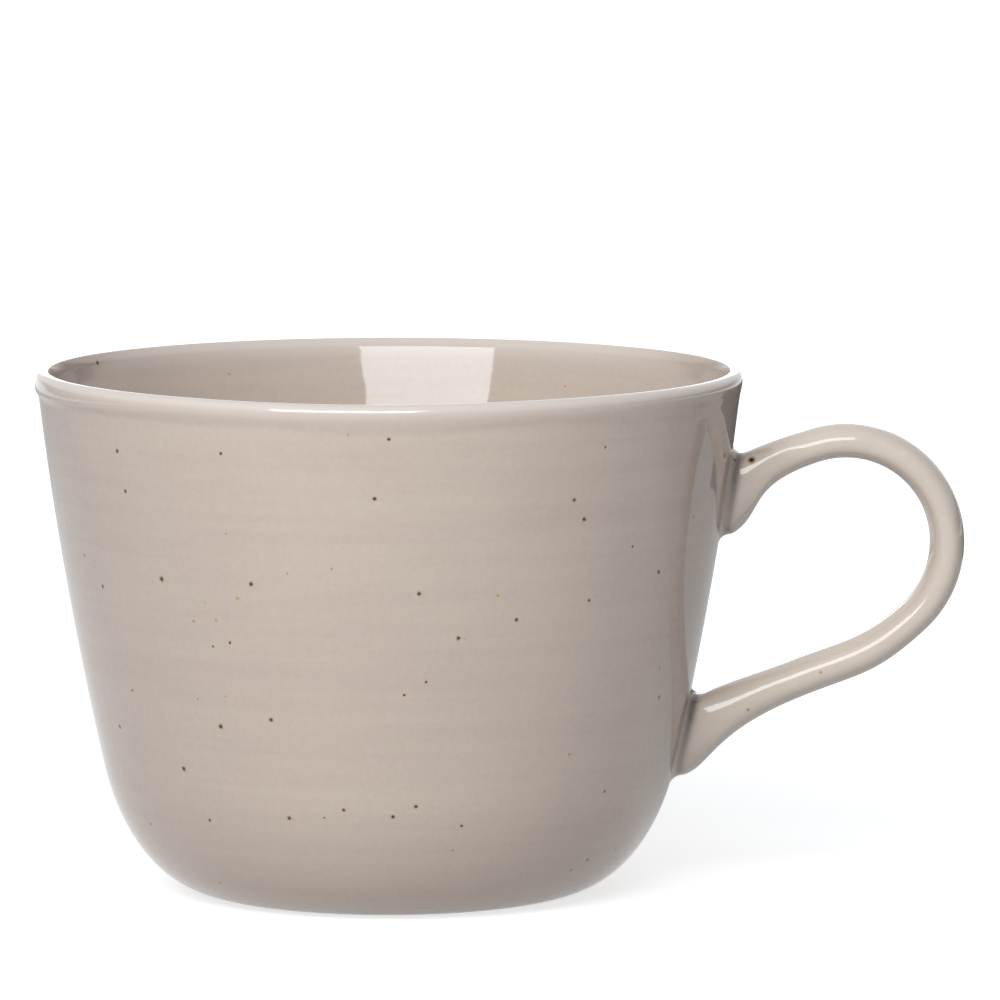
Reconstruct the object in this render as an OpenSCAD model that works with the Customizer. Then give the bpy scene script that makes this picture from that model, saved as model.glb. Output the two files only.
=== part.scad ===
// Tea cup of glazed stoneware: a wide bowl with a gently bowed wall, a round heel and a low foot
// ring, and a loop handle whose flared ends are stuck to the wall with slip.
// Millimetres, +Z up. The origin is the middle of the foot, on the table. The handle points along +X.

/* [Bowl] */
// Largest diameter, across the rounded lip
rim_d = 110; // [102:0.5:120]
// Height from the table to the crest of the lip
cup_h = 81.5; // [74:0.5:95]
// Diameter where the wall turns into the heel
heel_d = 89.1; // [82:0.1:95]
// Height where the wall turns into the heel
heel_h = 20; // [17:0.5:24]
// How far the wall bows out from a straight line
wall_bow = 0.75; // [0:0.05:2]
// Length over which the heel leaves the line of the wall
heel_drop = 10; // [7:0.1:13]
// Length over which the heel leaves the flat of the foot
heel_run = 10.3; // [8:0.1:13]

/* [Lip] */
// Height over which the lip's outer flank turns from the wall to the flat top
lip_flank_h = 2.6; // [2:0.1:3.2]
// How far that flank turns in
lip_flank_w = 1.8; // [1.3:0.1:2]
// Radius of the lip's inner edge
lip_edge_r = 1; // [0.4:0.05:1.2]
// Lean of the inside below that edge, in degrees
lip_lean = 17; // [10:1:20]
// Height of the lip, from the end of the wall to the crest
lip_h = 4.2; // [3.4:0.1:6]
// How far the lip stands out past the end of the wall
lip_bead = 0.6; // [0.4:0.05:1]

/* [Wall and floor] */
// Thickness of the wall just under the lip
wall_top_t = 3.15; // [2.8:0.05:3.5]
// Full thickness of the wall
wall_t = 4.4; // [3.6:0.1:5.2]
// Height over which the wall thins towards the lip
taper_h = 15; // [8:0.5:24]
// Thickness of the floor
floor_t = 4.6; // [3.6:0.1:5.6]

/* [Foot] */
// Outer diameter of the ring that the cup rests on
foot_d = 52; // [46:0.5:58]
// Width of that ring
foot_w = 3.4; // [2:0.1:5]
// Depth of the hollow inside the ring
foot_hollow = 1.6; // [0.8:0.1:2.4]
// Run of the slope between the ring and the hollow
hollow_slope = 1.4; // [0.8:0.1:3]

/* [Handle] */
// Mean radius of the round arch
arch_r = 15.9; // [13.5:0.1:18]
// Centre of the arch below the middle of the upper joint
arch_drop = 7.7; // [5:0.1:10]
// Clear space for fingers, from the wall to the inside of the arch
finger_gap = 33; // [29:0.5:40]
// Thickness of the strap on the arch
strap_t = 5.3; // [4.2:0.1:6.5]
// Width of the strap
strap_w = 9.4; // [7.5:0.1:12]
// Thickness of the straight lower run
run_t = 5.8; // [4.6:0.1:7]
// Slope of the lower run, in degrees
run_slope = 22; // [14:1:30]
// Distance from the wall to the middle of the lower run
run_out = 15.8; // [13:0.1:19]
// Height of the middle of the lower run over the middle of the lower joint
run_rise = 8.6; // [6:0.1:12]

/* [Joints] */
// Middle of the upper joint below the crest of the lip
upper_drop = 19.4; // [16:0.1:24]
// Middle of the lower joint above the table
lower_rise = 24.3; // [21:0.1:28]
// Height of the handle's flared ends
joint_h = 12.7; // [10:0.1:15]
// Width of the handle's flared ends
joint_w = 10.8; // [9.6:0.1:13]
// Thickness of the slip between the handle's ends and the wall
slip_t = 1.4; // [0.8:0.1:2]
// How far the slip spreads over the wall around the handle's ends
slip_spread = 1.5; // [0.8:0.1:2.5]

/* [Hidden] */

// Smoothness of the curves
heel_steps = 12;
wall_steps = 10;
swell_steps = 3;
flank_steps = 8;
edge_steps = 4;
flare_steps = 14;
arch_steps = 22;
run_steps = 7;
fillet_steps = 6;
section_n = 28;
$fn = 80;

glaze = "#C6BAAE";
slip_glaze = "#A89C90";

// The arch runs clockwise from the upper flare to the lower run, in degrees from +X
arch_start = 108;
arch_end = -47;
// Where the lip's flank has the corners that pull it towards a square, as shares of its height and width
flank_pull = [0.8, 0.85];
// The strap's section is an oval with sides a little fuller than an ellipse, and fuller still at its ends
strap_power = 2.3;
joint_power = 3;
// The strap keeps its width almost to the wall: the flare grows with this power of the nearness to it
flare_power = 8;
// Directions in which the strap's two edges leave the joints, outer edge first, in degrees
upper_lead_angle = [22, 28];
lower_lead_angle = [16, 23];
// Lengths over which the edges hold these directions, outer edge first
upper_lead = [8, 6];
lower_lead = [4.6, 4.6];
// Lengths over which the edges ease into the arch from above, and out of it below
arch_lead_in = [3.6, 12.6];
arch_lead_out = [10.9, 8.6];
// Lengths over which the edges stay straight before and after the middle of the lower run
run_lead_in = [10, 7.8];
run_lead_out = [15.6, 2.4];
// Straight end of the handle next to the slip, and edge of the slip where it thins out on the wall
seat_land = 0.4;
slip_edge = 0.06;
// Extra depth of a piece that the wall's own surface then trims
trim = 0.8;

function unit(v) = v / norm(v);
function heading(angle) = [cos(angle), sin(angle)];
function mix(a, b, t) = a + (b - a) * t;
function ease(t) = t * t * (3 - 2 * t);
function left_of(v) = unit([-v[1], v[0]]);
function bezier2(p, t) = pow(1 - t, 2) * p[0] + 2 * t * (1 - t) * p[1] + t * t * p[2];
function bezier2_slope(p, t) = (1 - t) * (p[1] - p[0]) + t * (p[2] - p[1]);
function bezier3(p, t) =
    pow(1 - t, 3) * p[0] + 3 * t * pow(1 - t, 2) * p[1] + 3 * t * t * (1 - t) * p[2] + pow(t, 3) * p[3];
function bezier3_slope(p, t) =
    pow(1 - t, 2) * (p[1] - p[0]) + 2 * t * (1 - t) * (p[2] - p[1]) + t * t * (p[3] - p[2]);

// The outer profile, as radius and height: the wall, and the heel that carries on its line to the foot
rim_r = rim_d / 2;
wall_low = [heel_d / 2, heel_h];
wall_high = [rim_r - lip_bead, cup_h - lip_h];
wall_curve = [
    wall_low,
    (wall_low + wall_high) / 2 - 2 * wall_bow * left_of(wall_high - wall_low),
    wall_high
];
foot_edge = [foot_d / 2, 0];
heel_curve = [
    foot_edge,
    foot_edge + [heel_run, 0],
    wall_low - heel_drop * unit(wall_curve[1] - wall_curve[0]),
    wall_low
];
outer_side = concat(
    [for (i = [0:heel_steps - 1]) bezier3(heel_curve, i / heel_steps)],
    [for (i = [0:wall_steps]) bezier2(wall_curve, i / wall_steps)]
);

// The lip swells out of the wall, turns over a flank to its flat top and rounds into the inside
lip_side = [rim_r, cup_h - lip_flank_h];
swell_curve = [
    wall_high,
    wall_high + (lip_side[1] - wall_high[1]) / 2 * unit(wall_curve[2] - wall_curve[1]),
    lip_side - [0, (lip_side[1] - wall_high[1]) / 3],
    lip_side
];
crest_r = rim_r - lip_flank_w;
flank_curve = [
    lip_side,
    lip_side + [0, flank_pull[0] * lip_flank_h],
    [crest_r + flank_pull[1] * lip_flank_w, cup_h],
    [crest_r, cup_h]
];
lip_curve = concat(
    [for (i = [1:swell_steps]) bezier3(swell_curve, i / swell_steps)],
    [for (i = [1:flank_steps]) bezier3(flank_curve, i / flank_steps)],
    [for (i = [1:edge_steps])
        [crest_r, cup_h - lip_edge_r] + lip_edge_r * heading(90 + (90 - lip_lean) * i / edge_steps)]
);

// The inside follows the outside at the thickness of the wall, which thins towards the lip
floor_z = foot_hollow + floor_t;
taper_share = taper_h / norm(wall_high - wall_low);
function inside_wall(t) =
    bezier2(wall_curve, t)
    + mix(wall_t, wall_top_t, pow(max(0, 1 - (1 - t) / taper_share), 2)) * left_of(bezier2_slope(wall_curve, t));
function inside_heel(t) =
    bezier3(heel_curve, t)
    + mix(floor_z, wall_t, ease(t)) * left_of(bezier3_slope(heel_curve, t));
inner_side = concat(
    [for (i = [wall_steps:-1:0]) inside_wall(i / wall_steps)],
    [for (i = [heel_steps - 1:-1:0]) inside_heel(i / heel_steps)]
);

// The ring that the cup rests on, and the hollow inside it
ring_in_r = foot_d / 2 - foot_w;
underside = [[0, foot_hollow], [ring_in_r - hollow_slope, foot_hollow], [ring_in_r, 0]];

module cup_body() {
    color(glaze)
        rotate_extrude()
            polygon(concat(underside, outer_side, lip_curve, inner_side, [[0, floor_z]]));
}

// Outer radius of the wall at a height
wall_heights = [for (p = outer_side) [p[1], p[0]]];
function wall_r(z) = lookup(z, wall_heights);

// The space inside the wall's outer surface, grown outwards
module wall_core(grow) {
    rotate_extrude()
        polygon(concat(
            [[0, 0]],
            [for (p = outer_side) p + [grow, 0]],
            [[0, wall_high[1]]]
        ));
}

// Places of the joints, of the arch and of the middle of the lower run
upper_z = cup_h - upper_drop;
lower_z = lower_rise;
arch_z = upper_z - arch_drop;
arch_centre = [wall_r(arch_z) + finger_gap - (arch_r - strap_t / 2), arch_z];
run_z = lower_z + run_rise;
run_centre = [wall_r(run_z) + run_out, run_z];
run_dir = heading(run_slope);

// The strap has an outer edge, side 0, and an inner edge, side 1
function out_sign(side) = 1 - 2 * side;
function seat_point(z) = [wall_r(z) + slip_t + seat_land, z];
function upper_seat(side) = seat_point(upper_z + out_sign(side) * joint_h / 2);
function lower_seat(side) = seat_point(lower_z - out_sign(side) * joint_h / 2);
function arch_point(side, angle) = arch_centre + (arch_r + out_sign(side) * strap_t / 2) * heading(angle);
function run_point(side) = run_centre - out_sign(side) * run_t / 2 * left_of(run_dir);

function upper_flare(side) = [
    upper_seat(side),
    upper_seat(side) + upper_lead[side] * heading(upper_lead_angle[side]),
    arch_point(side, arch_start) - arch_lead_in[side] * heading(arch_start - 90),
    arch_point(side, arch_start)
];
function lower_run(side) = [
    arch_point(side, arch_end),
    arch_point(side, arch_end) + arch_lead_out[side] * heading(arch_end - 90),
    run_point(side) + run_lead_in[side] * run_dir,
    run_point(side)
];
function lower_flare(side) = [
    run_point(side),
    run_point(side) - run_lead_out[side] * run_dir,
    lower_seat(side) + lower_lead[side] * heading(lower_lead_angle[side]),
    lower_seat(side)
];

// Sections of the strap: an oval between the two edges, bent round the wall by the share called wrap
function oval(angle, power) =
    let (u = cos(angle), v = sin(angle))
    [sign(u) * pow(abs(u), 2 / power), sign(v) * pow(abs(v), 2 / power)];
function bend(r, y) = r - sqrt(r * r - y * y);
function section(outer, inner, width, wrap, power) = [
    for (k = [0:section_n - 1])
        let (
            q = oval(360 * k / section_n, power),
            y = width / 2 * q[1],
            p = (outer + inner) / 2 + (outer - inner) / 2 * q[0]
        )
        [p[0] - wrap * bend(p[0], y), y, p[1]]
];
function flare_section(curve_out, curve_in, t, near) =
    let (flare = pow(near, flare_power))
    section(
        bezier3(curve_out, t), bezier3(curve_in, t),
        mix(strap_w, joint_w, flare), flare, mix(strap_power, joint_power, ease(near))
    );
// Outline of a joint on the wall grown by depth, spread by a margin, with its outer edge up or down
function seat_ring(z_mid, up, depth, margin) = [
    for (k = [0:section_n - 1])
        let (
            q = oval(360 * k / section_n, joint_power),
            y = (joint_w / 2 + margin) * q[1],
            z = z_mid + up * (joint_h / 2 + margin) * q[0]
        )
        [sqrt(pow(wall_r(z) + depth, 2) - y * y), y, z]
];
function seat_middle(z_mid, depth) = [wall_r(z_mid) + depth, 0, z_mid];

// Closed skin over rings of points, with a middle point for each end
module skin(rings, first_middle, last_middle) {
    n = len(rings[0]);
    last = (len(rings) - 1) * n;
    first_pole = last + n;
    last_pole = first_pole + 1;
    sides = [
        for (i = [0:len(rings) - 2], k = [0:n - 1])
            let (a = i * n + k, b = i * n + (k + 1) % n)
            each [[a, b, b + n], [a, b + n, a + n]]
    ];
    ends = [
        for (k = [0:n - 1])
            each [[first_pole, (k + 1) % n, k], [last_pole, last + k, last + (k + 1) % n]]
    ];
    polyhedron(concat([for (r = rings) each r], [first_middle, last_middle]), concat(sides, ends));
}

module handle() {
    rings = concat(
        [seat_ring(upper_z, 1, -trim, 0), seat_ring(upper_z, 1, slip_t + seat_land, 0)],
        [for (i = [1:flare_steps - 1])
            flare_section(upper_flare(0), upper_flare(1), i / flare_steps, 1 - i / flare_steps)],
        [for (i = [0:arch_steps - 1])
            let (angle = mix(arch_start, arch_end, i / arch_steps))
            section(arch_point(0, angle), arch_point(1, angle), strap_w, 0, strap_power)],
        [for (i = [0:run_steps - 1])
            let (t = i / run_steps)
            section(bezier3(lower_run(0), t), bezier3(lower_run(1), t), strap_w, 0, strap_power)],
        [for (i = [0:flare_steps - 1])
            flare_section(lower_flare(0), lower_flare(1), i / flare_steps, i / flare_steps)],
        [seat_ring(lower_z, -1, slip_t + seat_land, 0), seat_ring(lower_z, -1, -trim, 0)]
    );
    color(glaze)
        difference() {
            skin(rings, seat_middle(upper_z, -trim), seat_middle(lower_z, -trim));
            wall_core(slip_t);
        }
}

// Slip between the wall and one end of the handle, with a hollow fillet that thins out on the wall
module slip_joint(z_mid) {
    fillet = [
        for (i = [1:fillet_steps])
            let (depth = mix(slip_t, slip_edge, i / fillet_steps))
            seat_ring(z_mid, 1, depth, slip_spread * (1 - sqrt(1 - pow(1 - depth / slip_t, 2))))
    ];
    spread = slip_spread * (1 - sqrt(1 - pow(1 - slip_edge / slip_t, 2)));
    rings = concat(
        [seat_ring(z_mid, 1, slip_t + trim, 0)],
        fillet,
        [seat_ring(z_mid, 1, -trim, spread)]
    );
    difference() {
        intersection() {
            skin(rings, seat_middle(z_mid, slip_t + trim), seat_middle(z_mid, -trim));
            wall_core(slip_t);
        }
        wall_core(0);
    }
}

module upper_slip_joint() {
    color(slip_glaze) slip_joint(upper_z);
}

module lower_slip_joint() {
    color(slip_glaze) slip_joint(lower_z);
}

cup_body();
handle();
upper_slip_joint();
lower_slip_joint();
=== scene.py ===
# %% [markdown]
# # A speckled stoneware tea cup
#
# The cup is a wide bowl with a loop handle, all under one glossy greige glaze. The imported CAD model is
# the frame that everything is fitted to. Here each of its four pieces, the body, the handle and the two
# collars of slip that hold the handle, is drawn again as a smooth skin with the small unevenness of
# something made by hand, and then glazed, lit and photographed.

# %% Load the frame
from math import comb, pi, radians

import bpy
import numpy as np
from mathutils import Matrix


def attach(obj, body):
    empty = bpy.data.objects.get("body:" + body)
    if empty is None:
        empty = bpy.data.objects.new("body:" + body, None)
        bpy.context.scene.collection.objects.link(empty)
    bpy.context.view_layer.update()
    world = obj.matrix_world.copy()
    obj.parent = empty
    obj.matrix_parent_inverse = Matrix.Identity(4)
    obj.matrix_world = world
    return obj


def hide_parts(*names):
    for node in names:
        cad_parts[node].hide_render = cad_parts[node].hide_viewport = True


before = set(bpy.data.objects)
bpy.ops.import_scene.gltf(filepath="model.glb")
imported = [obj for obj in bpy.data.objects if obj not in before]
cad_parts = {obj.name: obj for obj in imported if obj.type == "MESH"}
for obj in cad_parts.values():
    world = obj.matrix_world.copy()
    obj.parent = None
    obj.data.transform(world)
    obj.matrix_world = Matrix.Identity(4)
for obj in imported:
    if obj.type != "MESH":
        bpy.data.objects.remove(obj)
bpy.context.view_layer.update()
# Sizes are written in mm, and Blender works in metres
MM = 0.001

# %% [markdown]
# ## One helper for every skin
#
# Each piece of the cup is closed and round in section, so it can be drawn as a stack of rings. A modifier
# such as Screw could turn a profile, but the same rings also carry the handle along its path, and numpy
# keeps every point within reach for the small irregularities. The two ends close in a fan of triangles.

# %% Skin over rings
# Added to a length that can be 0 before something is divided by it
TINY = 1e-12


def ease(t):
    """Smooth step: 3t^2 - 2t^3 between 0 and 1, and flat outside."""
    t = np.clip(t, 0, 1)
    return t * t * (3 - 2 * t)


def grid_normals(rings):
    """Normals of a grid of rings: the direction along the rows crossed with the direction round each ring."""
    along = np.gradient(rings, axis=0)
    around = np.roll(rings, -1, axis=1) - np.roll(rings, 1, axis=1)
    across = np.cross(around, along)
    return across / np.linalg.norm(across, axis=-1, keepdims=True)


def skin(name, rings, first_pole, last_pole, normals=None):
    """Closed skin in mm over rings[row, column]: quads between neighbours, and a fan to each end's pole.
    The faces are turned over if the volume they enclose, a third of position times area, is negative."""
    rows, columns = rings.shape[:2]
    points = np.concatenate([rings.reshape(-1, 3), [first_pole, last_pole]])
    here = np.arange(rows * columns).reshape(rows, columns)
    beside = np.roll(here, -1, axis=1)
    pole = np.full(columns, rows * columns)
    quads = np.stack([here[:-1], beside[:-1], beside[1:], here[1:]], -1).reshape(-1, 4)
    fans = np.concatenate([
        np.stack([pole, beside[0], here[0]], -1),
        np.stack([pole + 1, here[-1], beside[-1]], -1),
    ])
    triangles = np.concatenate([quads[:, [0, 1, 2]], quads[:, [0, 2, 3]], fans])
    a, b, c = (points[triangles[:, k]] for k in range(3))
    volume = np.einsum("ij,ij->", a, np.cross(b, c)) / 6
    if volume < 0:
        quads, fans = quads[:, ::-1], fans[:, ::-1]
    mesh = bpy.data.meshes.new(name)
    mesh.from_pydata((points * MM).tolist(), [], quads.tolist() + fans.tolist())
    mesh.polygons.foreach_set("use_smooth", np.ones(len(mesh.polygons), bool))
    if normals is not None:
        turned = normals.reshape(-1, 3) * np.sign(volume)
        p, q, r = (points[fans[:, k]] for k in range(3))
        flat = np.cross(q - p, r - p)
        flat /= np.linalg.norm(flat, axis=1, keepdims=True) + TINY
        corners = np.concatenate([turned[quads.ravel()], np.repeat(flat, 3, axis=0)])
        mesh.normals_split_custom_set(corners.tolist())
    piece = bpy.data.objects.new(name, mesh)
    bpy.context.collection.objects.link(piece)
    print(f"{name}: {len(triangles)} triangles, {abs(volume) / 1000:.1f} cm3")
    return piece


def paint(piece, name, values):
    """Stores one number per vertex on a piece, with 0 on the two poles, for its material to read."""
    numbers = np.concatenate([np.asarray(values, float).ravel(), [0, 0]])
    piece.data.attributes.new(name, "FLOAT", "POINT").data.foreach_set("value", numbers)


# %% [markdown]
# ## The profile of the bowl
#
# The body is thrown on a wheel, so half of its section is enough. The wall is one gentle bow, the heel
# carries its line round to a low foot, and the lip swells a little before it rolls over. Bezier curves give
# these as the potter's eye does: by where a line starts, where it heads and where it ends.

# %% Curves of the section


def bezier(points, t):
    """Bezier curve: each control point weighted by its Bernstein share of t."""
    n = len(points) - 1
    t = np.asarray(t, float)[:, None]
    return sum(comb(n, i) * t**i * (1 - t) ** (n - i) * np.asarray(p) for i, p in enumerate(points))


def heading(points, t):
    """Direction of a Bezier curve: the Bezier curve of the steps between its control points."""
    return bezier(np.diff(np.asarray(points, float), axis=0), t)


def left_of(v):
    """Unit vectors a quarter turn to the left of 2-D vectors."""
    v = np.atleast_2d(v)
    return np.stack([-v[:, 1], v[:, 0]], 1) / np.linalg.norm(v, axis=1, keepdims=True)


def compass(degrees):
    """Unit vectors at angles from the first axis of a plane: their cosine and sine."""
    return np.stack([np.cos(np.radians(degrees)), np.sin(np.radians(degrees))], -1)


def span(count, skip_first=True):
    """Even steps from 0 to 1, without the first where a curve carries on another."""
    return np.linspace(0, 1, count)[1 if skip_first else 0:]


# Sizes are in mm and slopes in degrees. Rim and height, heel, bow of the wall, and how far the heel's curve
# holds its heading at the wall and at the foot
RIM_R, CUP_H = 55.0, 81.5
HEEL_R, HEEL_H = 44.55, 20.0
WALL_BOW, HEEL_DROP, HEEL_RUN = 0.75, 10.0, 10.3
# Lip: depth and width of its bead, depth and width of its flank, and the lean of its inside
LIP_H, LIP_BEAD = 4.2, 0.6
LIP_FLANK_H, LIP_FLANK_W, LIP_LEAN = 2.6, 2.0, 17.0
FOOT_R = 26.0

wall_low = np.array([HEEL_R, HEEL_H])
wall_high = np.array([RIM_R - LIP_BEAD, CUP_H - LIP_H])
bow = 2 * WALL_BOW * left_of(wall_high - wall_low)[0]
wall_curve = [wall_low, (wall_low + wall_high) / 2 - bow, wall_high]
rise = wall_curve[1] - wall_curve[0]
foot_edge = np.array([FOOT_R, 0])
heel_lead = wall_low - HEEL_DROP * rise / np.linalg.norm(rise)
heel_curve = [foot_edge, foot_edge + [HEEL_RUN, 0], heel_lead, wall_low]
lip_side = np.array([RIM_R, CUP_H - LIP_FLANK_H])
swell_h = lip_side[1] - wall_high[1]
lean = wall_curve[2] - wall_curve[1]
swell_lead = wall_high + swell_h / 2 * lean / np.linalg.norm(lean)
swell_curve = [wall_high, swell_lead, lip_side - [0, swell_h / 3], lip_side]
print("wall from", wall_low, "to", wall_high, "and lip out to", lip_side)

# %% Outer corner and inside of the section
# Top of the lip: width and slope of its flat, its rounded outer corner, the flank and the rounded inner edge
TOP_W, TOP_SLOPE, CORNER_R, FLANK_SLOPE = 0.7, 7.0, 1.3, 8.0
EDGE_DEPTH, EDGE_PULL = 1.35, (0.05, 0.3)
# Thickness of the wall at its top and below, the height over which it thins, and the floor's level
WALL_TOP_T, WALL_T, TAPER_H, FLOOR_Z = 3.15, 4.4, 15.0, 6.2
# Points along each stretch of the section, close where it bends
COUNT = {
    "hollow": 12, "slope": 9, "ring": 9, "heel": 44, "wall": 92, "swell": 14, "flank": 12, "corner": 12,
    "top": 9, "edge": 22, "inner_lip": 5, "inner_wall": 64, "inner_heel": 40, "floor": 12,
}


def inside_of(curve, t, thickness):
    """A curve moved to its left by the wall's thickness there."""
    return bezier(curve, t) + thickness[:, None] * left_of(heading(curve, t))


crest = np.array([RIM_R - LIP_FLANK_W, CUP_H])
top_end = crest + [TOP_W, -TOP_W * np.tan(radians(TOP_SLOPE)) / 2]
corner_mid = top_end - CORNER_R * compass(90 - TOP_SLOPE)
corner_turn = FLANK_SLOPE + (90 - TOP_SLOPE - FLANK_SLOPE) * span(COUNT["corner"])
corner_low = corner_mid + CORNER_R * compass(FLANK_SLOPE)
t_in = 1 - span(COUNT["inner_wall"], skip_first=False)
t_heel_in = 1 - span(COUNT["inner_heel"])
taper = np.clip(1 - (1 - t_in) / (TAPER_H / np.linalg.norm(wall_high - wall_low)), 0, 1) ** 2
inner_wall = inside_of(wall_curve, t_in, WALL_T + (WALL_TOP_T - WALL_T) * taper)
inner_heel = inside_of(heel_curve, t_heel_in, FLOOR_Z + (WALL_T - FLOOR_Z) * ease(t_heel_in))
edge_rise = compass(90 - LIP_LEAN)
edge_end = inner_wall[0] + (CUP_H - EDGE_DEPTH - inner_wall[0, 1]) / edge_rise[1] * edge_rise
edge_curve = [crest, crest - [EDGE_PULL[0], 0], edge_end + EDGE_PULL[1] * edge_rise, edge_end]
print("crest of the lip at", crest, "and its inner edge down to", np.round(edge_end, 2))

# %% The section as one line of points
# Width of the foot ring, depth of the hollow in it, and the slope between them
FOOT_W, FOOT_HOLLOW, HOLLOW_SLOPE = 3.4, 1.6, 1.4
# The flats of foot and floor run in to about this radius, and a fan of triangles closes each
POLE_R = 0.8
# How far the lip's flank holds its heading at both ends, with a bead below it and without
FLANK_LEAD, PLAIN_LEAD = 0.5, 1.1


def line(start, end, count):
    """Even points from start to end, without the start."""
    return np.asarray(start) + span(count)[:, None] * (np.asarray(end) - np.asarray(start))


def to_corner(start, direction, lead, count):
    """The lip's flank: a cubic from a place and direction on the wall to the lip's rounded outer corner."""
    down = compass(FLANK_SLOPE - 90)
    return bezier([start, start + lead * direction, corner_low + lead * down, corner_low], span(count))


ring_in_r = FOOT_R - FOOT_W
hollow_r = ring_in_r - HOLLOW_SLOPE
parts = {
    "hollow": line([POLE_R, FOOT_HOLLOW], [hollow_r, FOOT_HOLLOW], COUNT["hollow"]),
    "slope": line([hollow_r, FOOT_HOLLOW], [ring_in_r, 0], COUNT["slope"]),
    "ring": line([ring_in_r, 0], foot_edge, COUNT["ring"]),
    "heel": bezier(heel_curve, span(COUNT["heel"])),
    "wall": bezier(wall_curve, span(COUNT["wall"])),
    "swell": bezier(swell_curve, span(COUNT["swell"])),
    "flank": to_corner(lip_side, np.array([0, 1]), FLANK_LEAD, COUNT["flank"]),
    "corner": corner_mid + CORNER_R * compass(corner_turn),
    "top": bezier([top_end, crest + [TOP_W / 2, 0], crest], span(COUNT["top"])),
    "edge": bezier(edge_curve, span(COUNT["edge"])),
    "inner_lip": line(edge_end, inner_wall[0], COUNT["inner_lip"])[:-1],
    "inner_wall": inner_wall,
    "inner_heel": inner_heel,
    "floor": line(inner_heel[-1], [POLE_R, FLOOR_Z], COUNT["floor"]),
}
profile = np.concatenate(list(parts.values()))
zone = np.concatenate([[name] * len(p) for name, p in parts.items()])
print("section:", len(profile), "points,", ", ".join(f"{k} {len(p)}" for k, p in parts.items()))

# %% [markdown]
# ## What the hand and the kiln leave
#
# A perfect revolve looks like plastic. A few small things make it pottery. Throwing leaves low rings that
# climb the wall in a slow spiral. The lip is uneven: it has a bead only on the side away from the handle, it
# is thinner on that side and towards the handle, and it dips a little at the front. And the glaze runs back
# from the lip in the fire and stops in a soft, wavy roll a few millimetres below it. The rings are
# thousandths of a millimetre high and the roll a tenth, too fine to sculpt, so they are formulas of height
# and angle. A glossy glaze shows them all the same, because a reflection bends with the slope and not with
# the height.

# %% Throwing rings
COLUMNS = 288
angle = np.arange(COLUMNS) * 2 * pi / COLUMNS
outward = -left_of(np.gradient(profile, axis=0))
is_outer = np.isin(zone, ["heel", "wall", "swell", "flank", "corner", "top"])
is_inner = np.isin(zone, ["edge", "inner_lip", "inner_wall", "inner_heel"])
z = profile[:, 1][:, None]
phi = angle[None, :]

RING_DEPTH_OUT, RING_DEPTH_IN = 0.003, 0.004
# Each wave's height in mm, its share, how often it turns round the cup, and where it starts
RING_WAVES = ((5.3, 1.0, 1, 0.0), (3.4, 0.6, -1, 1.3), (2.2, 0.4, 2, 0.4))
# The rings swell and fade by this share round the cup, with a twist in mm of height
SWING, SWING_H = 0.25, 9.0
# Heights where the rings begin and end, and over how much they grow and fade
RINGS_FROM, RINGS_GROW, RINGS_TO, RINGS_FADE = 4.0, 10.0, 76.0, 6.0
spiral = sum(share * np.sin(2 * pi * z / tall + turns * phi + start)
             for tall, share, turns, start in RING_WAVES)
swing = 1 - SWING + SWING * np.sin(2 * phi + z / SWING_H)
clear_of_ends = ease((z - RINGS_FROM) / RINGS_GROW) * ease((RINGS_TO - z) / RINGS_FADE)
ring_depth = RING_DEPTH_OUT * is_outer + RING_DEPTH_IN * is_inner
relief = spiral * swing * clear_of_ends * ring_depth[:, None]
print(f"rings up to {relief.max():.3f} mm high")

# %% An uneven lip
# Away from its left side the lip has no bead: the wall runs straight up to its flank. The bead comes in over
# this range of the cosine of the angle from the left
BEAD_FROM, BEAD_OVER = 0.6, 0.35
plain = profile.copy()
on_lip = np.isin(zone, ["swell", "flank"])
plain[on_lip] = to_corner(wall_high, lean / np.linalg.norm(lean), PLAIN_LEAD, on_lip.sum() + 1)
beaded = ease((np.cos(phi - pi) - BEAD_FROM) / BEAD_OVER)
shape = profile[:, None, :] * beaded[..., None] + plain[:, None, :] * (1 - beaded[..., None])

# At its two ends, towards the handle and away from it, the lip is thinner and more upright inside: by how
# much, in mm, at a height. That comes in over a range of the cosine of the angle from the nearer end
END_THIN = {60.0: 0.0, 66.0: 0.1, 72.0: 0.45, 77.5: 0.8, CUP_H - EDGE_DEPTH: 0.55, CUP_H: 0.0}
END_FROM, END_OVER = 0.78, 0.17
at_ends = ease((np.abs(np.cos(phi)) - END_FROM) / END_OVER)
shape[..., 0] += np.interp(z, list(END_THIN), list(END_THIN.values())) * at_ends * is_inner[:, None]

# The rim is a little low at the front, as a rim trimmed by hand is: by how much, at what angle, how wide, and
# from what height of the wall
RIM_DIP, DIP_AT, DIP_WIDE, DIP_FROM = 0.28, 265.0, 26.0, 60.0
dip_round = np.exp(-(((np.degrees(phi) - DIP_AT) / DIP_WIDE) ** 2))
dip = RIM_DIP * dip_round * ease((z - DIP_FROM) / (CUP_H - DIP_FROM))
print(f"lip thinner by up to {max(END_THIN.values())} mm, rim low by up to {dip.max():.2f} mm")

# %% Roll of glaze below the lip
# Height of the glaze roll's lower edge, in mm, at angles in degrees round from the handle
ROLL_EDGE = {
    0: 76.4, 22: 77.6, 45: 78.2, 75: 77.1, 105: 78.4, 140: 77.4, 165: 78.4, 188: 78.6, 197: 79.0, 206: 78.9,
    216: 78.5, 235: 78.8, 243: 79.0, 254: 77.7, 259: 77.2, 265: 77.0, 272: 76.9, 279: 76.7, 288: 78.0,
    296: 78.2, 306: 77.4, 315: 76.7, 325: 75.5, 331: 75.0, 345: 75.6,
}
roll_edge = np.interp(np.degrees(angle), list(ROLL_EDGE), list(ROLL_EDGE.values()), period=360)
waves = np.fft.rfft(roll_edge)
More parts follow.
